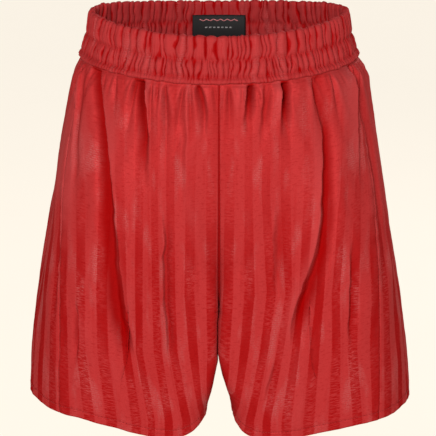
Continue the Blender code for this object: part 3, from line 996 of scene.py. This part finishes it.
def centre_fin(name, front):
    """Half way between the two halves, from the waist to the crotch."""
    column = 0 if front else -1
    left, right = HALVES["left"], HALVES["right"]
    rows = np.where((left.z[:, column] > CROTCH_Z + 0.002) & (left.below[:, column] > 0.006))[0]
    foot = (left.point[rows, column] + right.point[rows, column]) / 2
    foot[:, 0] = 0
    run = unit(np.gradient(foot, axis=0))
    facing = 1 if front else -1
    inward = np.stack([0 * run[:, 0], -facing * run[:, 2], facing * run[:, 1]], -1)
    build_fin(name, foot, inward, np.array([1.0, 0, 0]))


def side_fin(word, half):
    rows = np.where((half.below[:, FRONT_COLUMNS] > 0.006) & (half.down[:, 0] < 0.965))[0][::2]
    foot = half.point[rows, FRONT_COLUMNS]
    around = np.gradient(half.point, axis=1)[rows, FRONT_COLUMNS]
    build_fin(f"{word}_side_seam", foot, -half.facing[rows, FRONT_COLUMNS], unit(around))


def inseam_fin(word, half):
    hem = half.above_hem[:, 0]
    rows = np.where((half.z[:, 0] < CROTCH_Z - 0.004) & (hem > HEM_FOLD_HEIGHT + 0.001))[0]
    foot = (half.point[rows, 0] + half.point[rows, -1]) / 2
    inward = np.tile([half.side, 0, 0], (len(rows), 1))
    build_fin(f"{word}_inseam", foot, inward, np.array([0, 1.0, 0]))


centre_fin("centre_front_seam", True)
centre_fin("centre_back_seam", False)
for word, half in HALVES.items():
    side_fin(word, half)
    inseam_fin(word, half)


# -------- hems
def build_hem(word, half):
    """The turned-up layer: it rolls under the panels' lower edge and lies up inside the leg."""
    edge, facing = half.point[-1, :-1], half.facing[-1, :-1]
    hang = unit(edge - half.point[-4, :-1])
    radius = (CLOTH + 0.0008) / 2
    rings = []
    for turn in np.linspace(0, np.pi, 7)[:-1]:
        inwards = radius * (1 - np.cos(turn)) - 0.0001
        rings.append(edge - facing * inwards + hang * (0.8 * radius * np.sin(turn)))
    rows = np.where(half.above_hem.mean(axis=1) < HEM_FOLD_HEIGHT)[0][::-1]
    for row in rows:
        rings.append(half.point[row, :-1] - half.facing[row, :-1] * (2 * radius - 0.0001))
    loop = np.stack(rings)
    run = np.concatenate([[0], np.cumsum(length_of(np.diff(loop, axis=0)).mean(axis=1))])
    across = np.broadcast_to(half.stripe_front[-1, :-1], loop.shape[:2])
    uv = np.stack([across, np.broadcast_to(run[:, None], loop.shape[:2])], -1)
    fold = cloth_object(
        f"{word}_hem_fold", loop, uv, [SATIN_FACE, SATIN_BACK], thickness=0.0003, closed=True,
        flip=half.side > 0,
    )
    # The roll is painted in full painted fold shade, with its stripe at full strength.
    everywhere = np.ones(loop.shape[:2])
    mark_cloth(fold, everywhere, everywhere)
    pull_with_waist(fold, "satin", f"{word}_hem_fold")
    row = int(np.argmin(np.abs(half.above_hem.mean(axis=1) - STITCH_ABOVE_HEM)))
    line = half.point[row] + half.facing[row] * 0.0001
    thread = stitches(f"{word}_hem_stitch", line, half.facing[row], THREAD_RED)
    pull_with_waist(thread, "thread", f"{word}_hem_stitch")


for word, half in HALVES.items():
    build_hem(word, half)


# -------- label
def build_label():
    low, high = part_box("size_label")
    width, height = high.x - low.x, high.z - low.z
    x, z = np.meshgrid(np.linspace(low.x, high.x, 29), np.linspace(high.z, low.z, 19))
    back = (low.y + high.y) / 2 - 0.0004

    def lie(x, z):
        """The label follows the band round, and bellies a little."""
        share = (high.z - z) / height
        bow = 0.0016 * (1 - (x / (width / 2)) ** 2)
        return back + bow - 0.0012 * np.sin(np.pi * share) + 0.001 * share**3

    grid, uv = np.stack([x, lie(x, z), z], -1), np.stack([x, z], -1)
    label = cloth_object("size_label", grid, uv, [LABEL_BLACK], thickness=0.0005, offset=0)
    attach(label, "label")
    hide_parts("size_label")

    def surface(x, z):
        return Vector((x, lie(x, z) - 0.00035, z))

    def marks(name, bars, material):
        """Woven bars, each from one point of the label to another."""
        points, faces = [], []
        for (x0, z0), (x1, z1), thick in bars:
            start = len(points)
            for at_x, at_z in ((x0, z0), (x1, z1)):
                for up in (thick / 2, -thick / 2):
                    points.append(surface(at_x, at_z + up))
            faces.append((start, start + 1, start + 3, start + 2))
        piece = mesh_object(name, points, faces, [material])
        thicken(piece, 0.00015, 0)
        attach(piece, "label")

    top = high.z - 0.0045
    step, rise = 0.0036, 0.0016
    corners = [(-0.02 + step * k, top - rise * (k % 2)) for k in range(12)]
    zigzag = [(start, end, 0.001) for start, end in zip(corners, corners[1:])]
    marks("label_zigzag", zigzag, MARK_ROSE)
    low_row, long, apart = top - 0.0085, 0.0025, 0.0042
    starts = [-0.0145 + apart * k for k in range(7)]
    dashes = [((start, low_row), (start + long, low_row), 0.0013) for start in starts]
    marks("label_dashes", dashes, MARK_GREY)
    line_x = np.linspace(low.x + 0.001, high.x - 0.001, 60)
    line = np.array([surface(at, high.z - 0.0012) for at in line_x]) - [0, 0.0001, 0]
    thread = stitches("label_stitch", line, np.tile([0, -1.0, 0], (60, 1)), LABEL_BLACK)
    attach(thread, "garment")
    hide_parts("label_stitch")


build_label()


# -------- stage
PAPER = (0.99, 0.92, 0.81, 1.0)


def build_floor():
    """A pale floor, lit evenly from below like a light table, and clear when seen from below."""
    material, n = new_material("studio_floor")
    place = n.add("TexCoord").outputs["Object"]
    grain = n.noise(place, (3, 3, 3))
    colour = n.mix(grain, (0.1, 0.093, 0.083, 1), (0.12, 0.112, 0.1, 1))
    n.feed_all(n.shader, {
        "Base Color": colour, "Roughness": 0.95, "Specular IOR Level": 0,
        "Emission Color": PAPER, "Emission Strength": 0.93,
    })
    under = n.add("NewGeometry").outputs["Backfacing"]
    clear = n.add("BsdfTransparent").outputs[0]
    seen = n.add("MixShader", {0: under, 1: n.shader.outputs[0], 2: clear})
    n.feed(n.tree.nodes["Material Output"].inputs["Surface"], seen.outputs[0])
    half = 40.0
    points = [(half * x, half * y, 0) for x, y in ((-1, -1), (1, -1), (1, 1), (-1, 1))]
    floor = mesh_object("studio_floor", points, [(0, 1, 2, 3)], [material])
    floor.location = (0, 0, -1.0)


def build_world():
    """Bright paper near the level of the horizon, darker overhead."""
    world = bpy.data.worlds.new("studio")
    world.use_nodes = True
    n = Nodes(world)
    way = n.add("TexCoord").outputs["Generated"]
    up = n.add("SeparateXYZ", {0: way}).outputs[2]
    fade = n.add("MapRange", {0: up, 1: 0.05, 2: 0.45, 3: 0.95, 4: 0.3}).outputs[0]
    background = n.tree.nodes["Background"]
    n.feed_all(background, {0: PAPER, 1: fade})
    bpy.context.scene.world = world


WARM_WHITE = (1.0, 0.97, 0.94)
LIT_SPOT = (0, 0, -0.2)
# Each lamp's name, place, size in metres and power in watts.
LAMPS = (
    ("key", (-0.45, -2.9, 0.95), 0.8, 88),
    ("fill", (1.2, -2.7, 0.6), 1.4, 14),
    ("back", (1.2, 2.8, 1.4), 1.2, 66),
)
CAMERA_PLACE = (-0.001, -2.6, 0.458)
CAMERA_AIM = (-0.001, 0, -0.2141)
CAMERA_LENS = 218


def add_aimed(name, data, place, target):
    """An object that looks from its place at the target."""
    made = bpy.data.objects.new(name, data)
    made.location = place
    made.rotation_euler = (Vector(target) - Vector(place)).to_track_quat("-Z", "Y").to_euler()
    bpy.context.scene.collection.objects.link(made)
    return made


def build_stage():
    build_floor()
    build_world()
    for name, place, size, power in LAMPS:
        light = bpy.data.lights.new(name, "AREA")
        light.shape = "DISK"
        light.size = size
        light.energy = power
        light.color = WARM_WHITE
        add_aimed(name, light, place, LIT_SPOT)
    bpy.context.scene.view_settings.view_transform = "Standard"
    camera = add_aimed("camera", bpy.data.cameras.new("camera"), CAMERA_PLACE, CAMERA_AIM)
    camera.data.sensor_width = 36
    camera.data.lens = CAMERA_LENS
    bpy.context.scene.camera = camera


build_stage()
bpy.context.view_layer.update()
